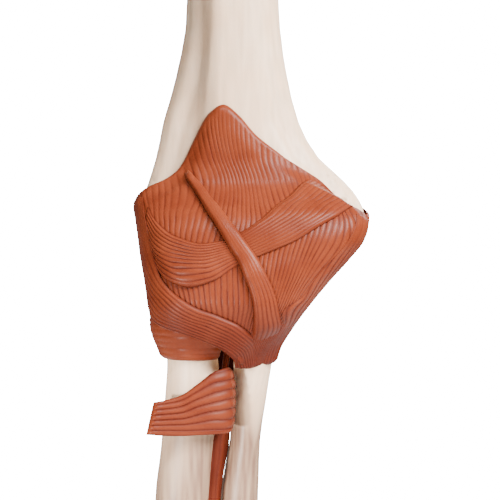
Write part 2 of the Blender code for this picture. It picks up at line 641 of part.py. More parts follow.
def main():
    clear_scene()
    humerus_hub = pivot("elbow_centre", (0, 0, 0))
    ulna_hub = pivot("elbow_flexion_pivot", (0, 0, 0), humerus_hub)
    radius_hub = pivot("forearm_rotation_pivot", (CAPITULUM_X, 0, 0), ulna_hub)
    make_humerus(humerus_hub)
    make_ulna(ulna_hub)
    make_radius(radius_hub)
    make_hinge(humerus_hub, ulna_hub)
    make_capsule(humerus_hub)
    make_annular_ligament(ulna_hub)
    make_interosseous_membrane(ulna_hub)
    make_oblique_cord(ulna_hub)
    make_biceps_tendon(radius_hub)


main()
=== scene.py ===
"""The elbow joint teaching model as it looks: cast ivory bones under red-brown vinyl ligaments.

Shapes are worked out in millimetres about the elbow axis: +X medial, +Y back, +Z up. put() moves them into
the model's own frame, whose origin is on the sawn top face of the humerus. A ligament is a sheet wrapped on
the capsule, a smooth closed form round the joint. A place on it is an angle (0 medial, 90 back, 180 lateral,
270 front) and z.
"""

import math

import bpy
import numpy as np
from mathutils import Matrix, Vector, noise
from mathutils.bvhtree import BVHTree


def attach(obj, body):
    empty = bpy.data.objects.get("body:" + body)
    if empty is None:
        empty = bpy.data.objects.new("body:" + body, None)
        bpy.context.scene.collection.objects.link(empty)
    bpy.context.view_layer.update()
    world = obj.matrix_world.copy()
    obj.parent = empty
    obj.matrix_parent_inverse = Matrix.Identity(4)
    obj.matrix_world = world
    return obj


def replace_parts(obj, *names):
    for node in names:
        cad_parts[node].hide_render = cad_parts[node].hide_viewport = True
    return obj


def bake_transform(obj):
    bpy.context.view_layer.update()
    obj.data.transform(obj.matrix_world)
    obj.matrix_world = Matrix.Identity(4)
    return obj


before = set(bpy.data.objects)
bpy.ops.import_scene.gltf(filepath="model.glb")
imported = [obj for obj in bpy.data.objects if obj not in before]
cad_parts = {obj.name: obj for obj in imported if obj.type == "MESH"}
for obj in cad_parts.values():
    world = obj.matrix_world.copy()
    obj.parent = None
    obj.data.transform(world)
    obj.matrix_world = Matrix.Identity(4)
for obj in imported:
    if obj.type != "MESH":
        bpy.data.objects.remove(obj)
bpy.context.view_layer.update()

MM = 0.001
ELBOW = np.array((-0.15, -10.037, -110.0))
UPPER, ULNA_SIDE, RADIUS_SIDE = "upper_arm", "ulna_unit", "radius_unit"

VOXEL = 0.5 * MM  # grid that the bones are remade on
LEAST = 0.2  # thinnest edge of a wrapped sheet, in mm
GROOVE = 0.22  # depth in mm at which a groove between fibres gets its full painted shade
RAY_START = 7.0  # mm outside the capsule, from where the bone under it is felt for

# The capsule's inside: z, left, right, front, back, squareness.
CAPSULE = np.array(
    [
        (-34.0, -18.5, 10.6, -8.0, 16.0, 2.6),
        (-27.0, -19.4, 12.0, -9.6, 14.5, 2.8),
        (-20.0, -20.6, 16.0, -13.2, 13.8, 3.0),
        (-14.0, -21.2, 20.4, -15.4, 13.8, 3.0),
        (-8.0, -22.2, 25.4, -15.4, 13.8, 3.0),
        (-2.0, -23.4, 31.0, -14.4, 13.7, 3.0),
        (3.0, -24.2, 35.0, -13.4, 13.7, 3.0),
        (8.0, -25.0, 37.0, -11.2, 13.9, 2.8),
        (12.0, -25.6, 36.5, -7.6, 14.1, 2.5),
        (18.4, -23.8, 31.8, -3.4, 15.1, 2.2),
        (25.0, -21.8, 24.6, -2.2, 16.0, 2.0),
        (34.6, -19.8, 19.2, -2.2, 17.6, 1.95),
        (47.5, -16.2, 16.0, -2.4, 19.4, 1.95),
    ]
)
# The line that the radius turns about, as its x and y at the elbow axis and their change for each mm down.
AXIS_TOP, AXIS_LEAN = np.array((-11.0, 0.0)), np.array((2.5, 5.0)) / 235.0


# === Numbers ==============================================================================================
def linear(hex_colour):
    """A colour written as in a paint chart, in the linear values that a shader takes."""
    parts = [int(hex_colour[k : k + 2], 16) / 255 for k in (1, 3, 5)]
    return (*(c / 12.92 if c <= 0.04045 else ((c + 0.055) / 1.055) ** 2.4 for c in parts), 1.0)


def ramp(low, high, value):
    """0 below low, 1 above high, and a smooth rise between them."""
    t = np.clip((value - low) / (high - low), 0, 1)
    return t * t * (3 - 2 * t)


def curve(ats, values, at):
    """The smooth curve through values, one for each of ats, found at each of at; straight past its ends."""
    ats, values = np.asarray(ats, float), np.asarray(values, float)
    steps = np.diff(values, axis=0) / np.diff(ats)[:, None]
    product, total = steps[:-1] * steps[1:], steps[:-1] + steps[1:]
    inner = np.where(product > 0, 2 * product / np.where(product > 0, total, 1), 0)
    slopes = np.vstack((steps[:1], inner, steps[-1:]))
    at = np.asarray(at, float)
    inside = np.clip(at, ats[0], ats[-1])
    k = np.clip(np.searchsorted(ats, inside, "right") - 1, 0, len(ats) - 2)
    h = (ats[k + 1] - ats[k])[:, None]
    t = (inside - ats[k])[:, None] / h
    found = values[k] * (1 + 2 * t) * (1 - t) ** 2 + slopes[k] * h * t * (1 - t) ** 2
    found += values[k + 1] * t * t * (3 - 2 * t) + slopes[k + 1] * h * t * t * (t - 1)
    end = np.where((at < ats[0])[:, None], slopes[0], slopes[-1])
    return found + end * (at - inside)[:, None]


def rough(points, scale, seed=0.0, stretch=(1.0, 1.0, 1.0)):
    """Noise from -1 to 1 at each point; scale is the size of its lumps in mm."""
    scaled = points / (scale * np.asarray(stretch)) + seed
    return np.array([noise.noise(Vector(p)) for p in scaled])


# === The capsule's form ===================================================================================
def form_at(z):
    left, right, front, back, power = curve(CAPSULE[:, 0], CAPSULE[:, 1:], z).T
    return (left + right) / 2, (front + back) / 2, (right - left) / 2, (back - front) / 2, power


def on_capsule(angle, z):
    cx, cy, a, b, power = form_at(z)
    c, s = np.cos(np.radians(angle)), np.sin(np.radians(angle))
    reach = (np.abs(c / a) ** power + np.abs(s / b) ** power) ** (-1 / power)
    return np.stack((cx + reach * c, cy + reach * s, z), -1)


def outward(angle, z):
    round_it = on_capsule(angle + 0.5, z) - on_capsule(angle - 0.5, z)
    up_it = on_capsule(angle, z + 0.3) - on_capsule(angle, z - 0.3)
    normal = np.cross(round_it, up_it)
    return normal / np.linalg.norm(normal, axis=1)[:, None]


def seen(side, points):
    """Places on the capsule from x and z seen from the front (side -1) or through it at the back (side 1)."""
    x, z = np.array(points, float).T
    cx, cy, a, b, power = form_at(z)
    share = np.clip((x - cx) / a, -0.9995, 0.9995)
    y = side * b * (1 - np.abs(share) ** power) ** (1 / power)
    return [tuple(p) for p in np.stack((np.degrees(np.arctan2(y, share * a)) % 360, z), -1)]


def front(*points):
    return seen(-1, points)


def back(*points):
    return seen(1, points)


def patch(rows, s, t):
    """Angle and z at s, from the first row to the last, and t, from the rows' first points to their last."""
    rows = np.array(rows, float)
    count, length = rows.shape[:2]
    found = np.empty((len(s), 2))
    for value in np.unique(s):
        here = s == value
        line = curve(np.linspace(0, 1, count), rows.reshape(count, -1), [value]).reshape(length, 2)
        found[here] = curve(np.linspace(0, 1, length), line, t[here])
    return found


# === Objects ==============================================================================================
def select_only(obj):
    bpy.ops.object.select_all(action="DESELECT")
    obj.select_set(True)
    bpy.context.view_layer.objects.active = obj


def apply_modifier(obj, kind, **settings):
    select_only(obj)
    modifier = obj.modifiers.new(kind.lower(), kind)
    for key, value in settings.items():
        setattr(modifier, key, value)
    bpy.ops.object.modifier_apply(modifier=modifier.name)


def points_of(obj):
    flat = np.empty(len(obj.data.vertices) * 3)
    obj.data.vertices.foreach_get("co", flat)
    return flat.reshape(-1, 3) / MM - ELBOW


def put(obj, points):
    obj.data.vertices.foreach_set("co", ((points + ELBOW) * MM).ravel())
    obj.data.update()


def keep_value(obj, name, values):
    """Stores a number at each vertex for the material to read."""
    attribute = obj.data.attributes.new(name, "FLOAT", "POINT")
    attribute.data.foreach_set("value", np.asarray(values, np.float32))


def close_outwards(obj):
    select_only(obj)
    bpy.ops.object.mode_set(mode="EDIT")
    bpy.ops.mesh.select_all(action="SELECT")
    bpy.ops.mesh.normals_make_consistent(inside=False)
    bpy.ops.object.mode_set(mode="OBJECT")
    bpy.ops.object.shade_smooth()


def sheet(name, along, across, shape):
    """A closed sheet; shape(s, t) gives its outer and inner points and the painted shade on each (1 for none).
    """
    bpy.ops.object.select_all(action="DESELECT")
    bpy.ops.mesh.primitive_grid_add(x_subdivisions=across, y_subdivisions=along, size=1)
    obj = bpy.context.object
    obj.name = obj.data.name = name
    flat = np.empty(len(obj.data.vertices) * 3)
    obj.data.vertices.foreach_get("co", flat)
    s, t = np.round(flat.reshape(-1, 3)[:, :2].T + 0.5, 6)
    outer, inner, crest = shape(s, t)
    apply_modifier(obj, "SOLIDIFY", thickness=0.01, offset=-1.0)
    put(obj, np.vstack((outer, inner)))
    # The under face is painted in full shade.
    keep_value(obj, "crest", np.concatenate((crest, crest * 0)))
    close_outwards(obj)
    obj.data.materials.append(VINYL)
    return obj


# === Materials ============================================================================================
def node(tree, kind, links=None, **settings):
    """Adds a node. settings with a capital letter are sockets, others attributes, and links join sockets."""
    made = tree.nodes.new(kind)
    for key, value in settings.items():
        if key[0].isupper():
            made.inputs[key.replace("_", " ")].default_value = value
        else:
            setattr(made, key, value)
    for socket, source in (links or {}).items():
        tree.links.new(source, made.inputs[socket])
    return made


def new_material(name):
    made = bpy.data.materials.new(name)
    made.use_nodes = True
    made.node_tree.nodes.clear()
    return made, made.node_tree


def mapped(tree, stretch):
    """Object coordinates in millimetres, squeezed along any axis by stretch."""
    place = node(tree, "ShaderNodeTexCoord")
    scale = tuple(1000 / s for s in stretch)
    return node(tree, "ShaderNodeMapping", {"Vector": place.outputs["Object"]}, Scale=scale).outputs["Vector"]


def mottle(tree, lumps, detail):
    """Noise whose lumps are about this many mm along x, y and z."""
    found = node(tree, "ShaderNodeTexNoise", {"Vector": mapped(tree, lumps)}, Scale=1.0, Detail=detail)
    return found.outputs["Fac"]


def mixed(tree, factor, first, second):
    """A colour between two others. Either may be a hex colour or a socket."""
    mix = node(tree, "ShaderNodeMix", data_type="RGBA")
    tree.links.new(factor, mix.inputs["Factor"])
    for key, value in ((6, first), (7, second)):
        if isinstance(value, str):
            mix.inputs[key].default_value = linear(value)
        else:
            tree.links.new(value, mix.inputs[key])
    return mix.outputs[2]


def ranged(tree, value, low, high, to_low=0.0, to_high=1.0):
    found = node(tree, "ShaderNodeMapRange", {"Value": value})
    for key, number in zip(("From Min", "From Max", "To Min", "To Max"), (low, high, to_low, to_high)):
        found.inputs[key].default_value = number
    return found.outputs["Result"]


def finish_with(tree, colour, roughness, bump_height, bump_mm, **shader):
    bump = node(tree, "ShaderNodeBump", {"Height": bump_height}, Strength=1.0, Distance=bump_mm * MM)
    links = {"Base Color": colour, "Roughness": roughness, "Normal": bump.outputs["Normal"]}
    body = node(tree, "ShaderNodeBsdfPrincipled", links, **shader)
    node(tree, "ShaderNodeOutputMaterial", {"Surface": body.outputs["BSDF"]})


def make_vinyl():
    # Soft PVC with the faint orange peel of a casting. The crest value paints shade: grooves between fibres go
    # deep rust as painted shade, and crests keep the lighter body colour and are rubbed smoother.
    made, tree = new_material("vinyl_ligament")
    crest = node(tree, "ShaderNodeAttribute", attribute_name="crest").outputs["Fac"]
    blotch = mottle(tree, (9, 9, 9), 3.0)
    peel = mottle(tree, (0.5, 0.5, 0.5), 2.0)
    body = mixed(tree, ranged(tree, blotch, 0.35, 0.65), "#6B2C18", "#79361F")
    # Painted shade: a low crest value darkens the body towards deep rust.
    colour = mixed(tree, ranged(tree, crest, 0.0, 0.85), "#3E0F08", body)
    roughness = ranged(tree, crest, 0.2, 1.0, 0.5, 0.3)
    finish_with(
        tree,
        colour,
        roughness,
        peel,
        0.03,
        Subsurface_Weight=0.06,
        Subsurface_Radius=(1.0, 0.35, 0.2),
        Subsurface_Scale=0.001,
        Specular_IOR_Level=0.1,
    )
    return made


def make_bone():
    # Cast polyester resin in warm ivory, a little translucent, darker in its pits and long striae. A pink-brown
    # mix over the forearm is partly stain and partly painted shade; in the trough of the humerus it is painted
    # shade. It is satin where it has been handled and duller in the pits.
    made, tree = new_material("cast_bone")
    pits = node(tree, "ShaderNodeAttribute", attribute_name="crest").outputs["Fac"]
    streak = mottle(tree, (1.3, 1.3, 16), 4.0)
    cloud = mottle(tree, (7, 7, 12), 3.0)
    grain = mottle(tree, (0.35, 0.35, 0.9), 3.0)
    ivory = mixed(tree, ranged(tree, cloud, 0.35, 0.65), "#F8CFA9", "#FDDAB8")
    streaked = mixed(tree, ranged(tree, streak, 0.55, 0.8, 0.0, 0.25), ivory, "#D9B894")
    stain_and_shade = node(tree, "ShaderNodeAttribute", attribute_name="stain_and_shade").outputs["Fac"]
    stained_and_shaded = mixed(tree, ranged(tree, stain_and_shade, 0.0, 1.0, 0.0, 0.95), streaked, "#705140")
    colour = mixed(tree, ranged(tree, pits, 0.0, 1.0), "#C9A988", stained_and_shaded)
    roughness = ranged(tree, pits, 0.0, 1.0, 0.6, 0.4)
    finish_with(
        tree,
        colour,
        roughness,
        grain,
        0.025,
        Subsurface_Weight=0.15,
        Subsurface_Radius=(1.2, 0.9, 0.6),
        Subsurface_Scale=0.0015,
        Specular_IOR_Level=0.4,
    )
    return made


def make_steel():
    # Turned steel pin stock: fine scratches round the rod break up its mirror.
    made, tree = new_material("pin_steel")
    scratch = mottle(tree, (0.1, 2, 2), 2.0)
    colour = mixed(tree, scratch, "#B9BBBE", "#CFD0D2")
    roughness = ranged(tree, scratch, 0.3, 0.7, 0.25, 0.38)
    finish_with(tree, colour, roughness, scratch, 0.005, Metallic=1.0)
    return made


VINYL, BONE, STEEL = make_vinyl(), make_bone(), make_steel()


# === Bones ================================================================================================
def bone(name, relief, stain_and_shade=1.0):
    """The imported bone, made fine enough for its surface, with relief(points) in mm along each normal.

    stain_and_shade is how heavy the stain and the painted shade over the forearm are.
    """
    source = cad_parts[name]
    obj = bpy.data.objects.new(f"{name}_casting", source.data.copy())
    bpy.context.scene.collection.objects.link(obj)
    apply_modifier(obj, "WELD", merge_threshold=0.00001)
    apply_modifier(obj, "REMESH", mode="VOXEL", voxel_size=VOXEL, use_smooth_shade=True)
    apply_modifier(obj, "SMOOTH", factor=0.5, iterations=8)
    points = points_of(obj)
    normals = np.empty(len(points) * 3)
    obj.data.vertices.foreach_get("normal", normals)
    normals = normals.reshape(-1, 3)
    height, pits = relief(points)
    put(obj, points + normals * height[:, None])
    keep_value(obj, "crest", pits)
    x, y, z = points.T
    uneven = 0.75 + 0.5 * rough(points, 5.0, 21.0, (1, 1, 5))
    # Painted shade down the lateral front of the humerus, where it falls away into its trough.
    painted_trough_shade = 0.6 * ramp(-1.0, -8.0, x) * ramp(12.0, 26.0, z) * ramp(6.0, 0.0, y)
    # The forearm darkens towards the bottom, partly with stain and partly as painted shade.
    keep_value(obj, "stain_and_shade", (stain_and_shade * ramp(-32.0, -56.0, z) + painted_trough_shade) * uneven)
    obj.data.materials.clear()
    obj.data.materials.append(BONE)
    obj.data.update()
    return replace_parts(obj, name)


def worn_surface(points, ends):
    """Height and pits of a cast bone: long striae on the shaft, and pores where ends is near 1."""
    lumps = rough(points, 11.0, 3.0)
    striae = rough(points, 1.0, 7.0, (1, 1, 11))
    pores = np.clip(rough(points, 1.3, 11.0) - 0.25, 0, 1) * ends
    height = 0.16 * lumps + 0.035 * striae * (1 - 0.6 * ends) - 0.35 * pores
    return height, np.clip(0.85 + 0.35 * striae - 2.2 * pores, 0, 1)


def humerus_relief(points):
    x, y, z = points.T
    height, pits = worn_surface(points, ramp(26, 12, z))
    on_front = ramp(4.0, 0.0, y) * ramp(14, 28, z)
    # A blunt crest runs down the front, and the bone falls away on its lateral side into a shallow trough.
    crest = -4.6 + 0.018 * (z - 40)
    height -= 1.1 * on_front * ramp(crest + 1.0, crest - 6.0, x) * ramp(-21.0, -13.0, x)
    # The supracondylar ridges run up either side from the epicondyles.
    for side, edges in ((1, (34.6, 29.5, 22.4, 17.0, 13.8, 12.0)), (-1, (-24, -22, -20, -18, -14.4, -12))):
        edge = np.interp(z, (12, 18.4, 25, 34.6, 47.5, 60), edges)
        inside = side * (edge - x)
        hollow = np.exp(-(((inside - 4.0) / 1.8) ** 2)) * ramp(8, 2, y)
        height -= 0.5 * ramp(70, 40, z) * ramp(12, 18, z) * hollow
    return height, pits


def forearm_relief(points):
    z = points[:, 2]
    return worn_surface(points, 0.7 * ramp(-40, -26, z))


# === Ligaments ============================================================================================
def bone_trees(objects):
    return [BVHTree.FromObject(obj, bpy.context.evaluated_depsgraph_get()) for obj in objects]


def bone_height(trees, base, normal, wanted, missing=-1.2):
    """How far the nearest bone stands above the capsule's inside, in mm, where wanted is true."""
    found = np.full(len(base), missing)
    for k in np.flatnonzero(wanted):
        start = Vector((base[k] + ELBOW + normal[k] * RAY_START) * MM)
        hits = [tree.ray_cast(start, Vector(-normal[k]), 2 * RAY_START * MM)[3] for tree in trees]
        hits = [hit for hit in hits if hit is not None]
        if hits:
            found[k] = RAY_START - min(hits) / MM
    return found


def fibre(q, wander):
    """Rounded cords with narrow grooves between them, from 0 to 1, one for each whole number of q."""
    return np.abs(np.sin(np.pi * (q + 0.16 * wander))) ** 0.5


def rounded(distance, reach):
    """0 at an edge, rising as a quarter circle to 1 at reach from it."""
    return np.sqrt(np.clip(1 - (1 - np.clip(distance / reach, 0, 1)) ** 2, 0, 1))


def length_of(places):
    return np.linalg.norm(np.diff(on_capsule(*places.T), axis=0), axis=1).sum()


def wrapped(
    name, rows, along, across, fibres, low, high, *, ends=(1.0, 1.0), edges=(1.2, 1.2), amp=0.22, slant=0.0,
    rim=(), rest=0.3, lift=None, relief=None, run="s", seed=0.0,
):  # fmt: skip
    """A ligament wrapped on the capsule, through rows of angle and z that match point for point.

    Its fibres run along the rows and are counted from the first row to the last (run "s"), or run across the
    rows and are counted along them (run "t"); slant is how many of them leave by the side on their way. low
    is the height of its under face above the capsule's inside, and high gives its top face's from s and t.
    edges is how many mm of each side round over, and ends of each end. Towards rim, a line of places, it lies
    down on the bone, rest mm above it. lift raises both faces, and relief scales the depth of the grooves.
    """
    steps, middle = np.linspace(0, 1, 9), np.full(9, 0.5)
    across_mm, along_mm = length_of(patch(rows, steps, middle)), length_of(patch(rows, middle, steps))

    def shape(s, t):
        angle, z = patch(rows, s, t).T
        base, normal = on_capsule(angle, z), outward(angle, z)
        side, way, width, length = (s, t, across_mm, along_mm) if run == "s" else (t, s, along_mm, across_mm)
        wander = rough(base, 16.0, seed)
        fine = fibre(side * fibres + slant * way, wander + 0.5 * rough(base, 5.0, seed + 3))
        near_side = np.minimum(rounded(side * width, edges[0]), rounded((1 - side) * width, edges[1]))
        near_end = np.minimum(rounded(way * length, ends[0]), rounded((1 - way) * length, ends[1]))
        depth = amp * (1 + 0.45 * rough(base, 4.0, seed + 5))
        if relief is not None:
            depth = depth * relief(s, t)
        under = np.full(len(s), float(low))
        if rim:
            weight = ramp(8.0, 0.5, np.interp(angle, *np.array(sorted(rim)).T) - z)
            weight *= ramp(186, 206, angle) if rim is RIM else 1.0
            on_bone = np.clip(bone_height(TREES, base, normal, weight > 0.01), -4.0, 5.5) + rest
            under = under * (1 - weight) + on_bone * weight
        if lift is not None:
            under = under + lift(s, t)
        full = high(s, t) - low + depth * (fine - 1) + 0.06 * wander
        thick = np.maximum(LEAST, full * near_side * near_end)
        shade = 1 - (1 - fine) * np.clip(depth / GROOVE, 0, 1.2)
        # Painted shade: darker in the grooves, near the sides and ends, and heavier towards the foot of the
        # capsule.
        crest = shade * (0.55 + 0.45 * near_side * (0.5 + 0.5 * near_end)) * (1 - 0.7 * ramp(-9.0, -31.0, z))
        return base + normal * (under + thick)[:, None], base + normal * under[:, None], np.clip(crest, 0, 1)

    return sheet(name, along, across, shape)


def flat_height(top):
    return lambda s, t: top + 0.0 * s


def over_elbow(obj):
    """Bakes obj's transform into its mesh."""
    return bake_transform(obj)


def between_bones(obj):
    """Bakes obj's transform into its mesh."""
    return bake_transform(obj)


humerus = bone("humerus", humerus_relief)
ulna = bone("ulna", forearm_relief, 1.6)
radius = bone("radius", forearm_relief, 1.3)
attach(humerus, UPPER)
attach(ulna, ULNA_SIDE)
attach(radius, RADIUS_SIDE)
TREES = bone_trees((humerus, ulna, radius))

for steel in ("hinge_pin", "hinge_tongue", "tongue_rivet_upper", "tongue_rivet_lower"):
    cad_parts[steel].data.materials.clear()
    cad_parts[steel].data.materials.append(STEEL)
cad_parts["hinge_pin_plug"].data.materials.clear()
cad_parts["hinge_pin_plug"].data.materials.append(BONE)

# The front of the capsule: fibres fan down from its point on the humerus, pass behind the bands and gather at
# the coronoid process of the ulna.
capsule_rows = [
    [(164, 9.6),
     *front((-25.4, 14.0), (-21.6, 17.4), (-16.2, 20.9), (-11.0, 29.6), (-6.2, 37.2), (-2.4, 39.4)),
     *front((2.0, 36.4), (6.8, 31.0), (12.4, 26.6), (18.2, 22.5), (24.0, 19.3), (30.8, 14.8)), (358, 8.8)],
    [(168, 3.0),
     *front((-23.8, 7.4), (-20.4, 5.4), (-15.8, 3.8), (-10.8, 2.6), (-5.0, 2.6), (0.8, 3.8)),
     *front((6.2, 6.6), (11.2, 9.8), (15.8, 13.2), (20.2, 15.4), (25.6, 12.6), (31.4, 9.0)), (361, 5.0)],
    [(172, -5.0),
     *front((-22.2, -5.4), (-19.6, -7.6), (-15.2, -9.6), (-10.4, -10.0), (-5.2, -8.6), (0.4, -5.6)),
     *front((5.6, -3.6), (10.6, -1.4), (15.6, 0.6), (20.6, 2.0), (25.6, 1.8), (30.0, -1.0)), (365, -3.4)],
    [(178, -11.6),
     *front((-20.0, -13.4), (-17.6, -14.6), (-13.4, -16.0), (-9.0, -17.2), (-4.4, -18.0), (0.6, -18.0)),
     *front((4.8, -17.8), (7.8, -17.4), (10.4, -16.8), (13.0, -16.0), (15.4, -15.4), (17.8, -15.0)),
     (368, -15.6)],
    [(186, -15.6),
     *front((-18.8, -16.6), (-16.4, -17.8), (-12.4, -19.6), (-8.0, -21.6), (-3.6, -23.6), (0.0, -28.0)),
     *front((2.6, -32.0), (4.6, -32.8), (6.4, -33.2), (8.0, -33.3), (9.4, -33.0), (10.6, -32.2)),
     (360, -31.2)],
]  # fmt: skip
RIM = capsule_rows[0]


def capsule_height(s, t):
    # At the side its rim is a thick lip, clear of the bone.
    return 1.1 + 0.5 * ramp(0.1, 0.02, t) * ramp(0.1, 0.0, s)


def capsule_lift(s, t):
    # Over the ulna its foot turns in towards the bone.
    return -2.6 * ramp(0.86, 1.0, s) * ramp(0.5, 0.62, t) * ramp(0.97, 0.85, t)


def capsule_relief(s, t):
    return ramp(0.004, 0.025, s) * (0.7 + 0.3 * ramp(0.1, 0.3, s))


anterior = wrapped(
    "anterior_capsule_sheet", capsule_rows, 340, 130, 46, 0.0, capsule_height,
    ends=(1.3, 1.2), edges=(1.0, 1.0), amp=0.22, rim=RIM, lift=capsule_lift, relief=capsule_relief, run="t",
    seed=1.0,
)  # fmt: skip
over_elbow(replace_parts(anterior, "anterior_capsule"))


# The transverse band: broad at the medial epicondyle, narrow under the oblique band, and broad again as it
# curves up to the lateral epicondyle.
transverse_rows = [
    front((22.4, 20.2), (15.8, 13.6), (9.6, 8.6), (3.8, 4.6), (-2.5, 1.7), (-8.4, 1.0), (-14.6, 2.8),
          (-19.4, 6.2), (-22.4, 10.6)),
    front((28.0, 16.0), (20.6, 10.0), (12.8, 4.6), (5.0, 0.9), (-2.0, -1.8), (-8.8, -3.4), (-15.4, -2.4),
          (-20.0, 0.6), (-22.6, 5.0)),
    front((33.0, 11.0), (25.1, 6.2), (16.2, 1.2), (8.0, -2.3), (1.1, -5.2), (-5.0, -9.0), (-11.4, -10.8),
          (-16.8, -8.8), (-20.8, -4.2)),
]  # fmt: skip


def transverse_height(s, t):
    waist = np.exp(-(((t - 0.5) / 0.1) ** 2))
    lip = 0.25 * ramp(0.85, 0.97, s) * ramp(0.5, 0.62, t)
    thinner = 0.5 * waist + 0.8 * ramp(0.8, 1.0, t) + 0.5 * ramp(0.12, 0, t)
    return 2.3 + 0.25 * (1 - (2 * s - 1) ** 2) + lip - thinner


def transverse_lift(s, t):
    return -0.25 * ramp(0.8, 0.95, t)


def transverse_relief(s, t):
    return 0.65 + 0.35 * ramp(0.45, 0.6, t)


transverse = wrapped(
    "transverse_band_cords", transverse_rows, 200, 110, 11, 1.3, transverse_height,
    ends=(3.0, 2.0), edges=(1.2, 1.2), amp=0.26, rim=RIM, rest=0.9, lift=transverse_lift,
    relief=transverse_relief, seed=2.0,
)  # fmt: skip
over_elbow(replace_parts(transverse, "transverse_band"))

# The oblique band lies over everything else, and widens into the bundle that goes down to the ulna.
oblique_rows = [
    front((-13.6, 21.0), (-11.2, 16.6), (-8.0, 11.0), (-4.4, 5.6), (-1.2, 0.4), (2.2, -5.4), (4.6, -11.2),
          (5.7, -17.0), (5.4, -22.0), (5.0, -28.6)),
    front((-13.0, 21.6), (-10.2, 17.4), (-6.9, 12.1), (-3.1, 6.9), (0.6, 1.8), (4.4, -3.8), (7.6, -10.2),
          (9.0, -16.6), (9.0, -22.4), (7.8, -29.2)),
    front((-12.4, 22.2), (-9.2, 18.2), (-5.8, 13.2), (-1.8, 8.2), (2.4, 3.2), (6.6, -2.4), (10.2, -9.0),
          (12.2, -15.8), (12.4, -22.4), (10.8, -29.0)),
]  # fmt: skip


def oblique_height(s, t):
    # A rounded cord down to the crossing. Below it the medial side thins out into the sheet.
    dome = (0.75 + 0.3 * ramp(0.2, 0.5, t)) * np.sqrt(1 - (2 * s - 1) ** 2)
    fade = ramp(0.5, 0.72, t)
    flat = 0.75 - 0.75 * ramp(0.3, 1.0, s)
    return 2.1 + dome * (1 - fade) + fade * flat - 0.3 * ramp(0.85, 1.0, t) - 0.3 * ramp(0.06, 0, t)


def oblique_lift(s, t):
    return 0.5 * ramp(0.2, 0.36, t) * ramp(0.66, 0.54, t) - 2.6 * ramp(0.82, 1.0, t) - 0.8 * ramp(0.1, 0.0, t)


def oblique_relief(s, t):
    return 0.15 + 0.15 * ramp(0.25, 0.45, t) + 0.7 * ramp(0.55, 0.75, t)


oblique = wrapped(
    "oblique_band_cords", oblique_rows, 220, 60, 6, 1.4, oblique_height,
    ends=(3.0, 2.0), edges=(0.9, 0.9), amp=0.2, rim=RIM, rest=1.1, lift=oblique_lift,
    relief=oblique_relief, seed=3.0,
)  # fmt: skip
over_elbow(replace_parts(oblique, "oblique_band"))

# The radial collateral ligament: down the lateral edge, then forwards and under the capsule to the ulna.
radial_rows = [
    front((-23.6, 13.4), (-22.4, 6.4), (-20.7, -0.8), (-18.6, -7.6), (-14.4, -12.9), (-9.4, -15.8),
          (-3.6, -17.8), (2.2, -20.6), (6.4, -25.0), (8.2, -33.0)),
    [(182, 12.4), *front((-24.6, 4.2), (-23.4, -3.0), (-21.0, -10.8), (-16.8, -16.6), (-11.6, -19.4),
          (-5.8, -21.6), (-0.2, -24.2), (3.4, -28.0), (5.2, -33.6))],
    [(168, 10.4), (170, 2.4), (174, -5.6), (180, -13.4), *front((-19.2, -20.4), (-13.8, -22.4),
          (-7.6, -24.8), (-3.2, -27.2), (0.2, -30.4), (1.2, -33.2))],
]  # fmt: skip


def radial_height(s, t):
    # Flat against the edge at first, and fullest where it sweeps forwards. Its inner side is a lip there.
    lip = 0.3 * ramp(0.22, 0.05, s) * ramp(0.35, 0.5, t) * ramp(0.9, 0.7, t)
    swell = 0.6 * ramp(0.2, 0.5, t) + (0.1 + 0.2 * ramp(0.2, 0.5, t)) * (1 - (2 * s - 1) ** 2)
    return 1.85 - 0.25 * ramp(0.25, 0.05, t) + swell + lip - 0.5 * ramp(0.85, 1.0, t)


def radial_lift(s, t):
    return -3.4 * ramp(0.8, 1.0, t)


def radial_relief(s, t):
    return 0.15 + 0.85 * ramp(0.12, 0.4, t)


radial = wrapped(
    "radial_collateral_cords", radial_rows, 230, 100, 10, 1.4, radial_height,
    ends=(1.2, 1.6), edges=(2.4, 1.6), amp=0.22, rim=RIM, rest=1.1, lift=radial_lift, relief=radial_relief,
    seed=4.0,
)  # fmt: skip
over_elbow(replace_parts(radial, "radial_collateral_ligament"))

# The ulnar collateral ligament fans from the medial epicondyle down the edge. Its fibres meet those of the
# capsule at an angle, along a low ridge.
ulnar_rows = [
    front((33.4, 8.6), (27.8, -1.6), (22.8, -7.0), (18.6, -12.6), (13.6, -16.4), (12.2, -22.4),
          (10.0, -30.0)),
    [(360, 8.4), *front((32.2, -1.4), (26.8, -7.4), (21.6, -12.8), (17.4, -18.2), (14.0, -24.0),
          (10.8, -31.2))],
    [(372, 12.4), (372, 4.0), (373, -5.0), (374, -12.0), (374, -19.0), (371, -25.0), (364, -31.0)],
]  # fmt: skip


def ulnar_height(s, t):
    # At the top it grows out of the capsule's rim with no step.
    step = ramp(0.1, 0.4, t)
    return 1.25 + (0.2 + 0.15 * step) * ramp(0.0, 0.06 + 0.2 * (1 - step), s) + 0.3 * ramp(0.1, 0.5, s)


def ulnar_lift(s, t):
    # Its foot turns in with the capsule's.
    return -2.3 * ramp(0.68, 1.0, t) * ramp(0.7, 0.1, s) - 0.5 * ramp(0.8, 1.0, t)


def ulnar_relief(s, t):
    return (0.7 + 0.3 * ramp(0.03, 0.12, s)) * (0.4 + 0.6 * ramp(0.04, 0.22, t))


ulnar = wrapped(
    "ulnar_collateral_cords", ulnar_rows, 180, 130, 11, 1.0, ulnar_height,
    ends=(1.2, 1.6), edges=(0.7, 1.6), amp=0.34, slant=-5.0, rim=RIM, rest=0.9, lift=ulnar_lift,
    relief=ulnar_relief, seed=5.0,
)  # fmt: skip
over_elbow(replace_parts(ulnar, "ulnar_collateral_ligament"))

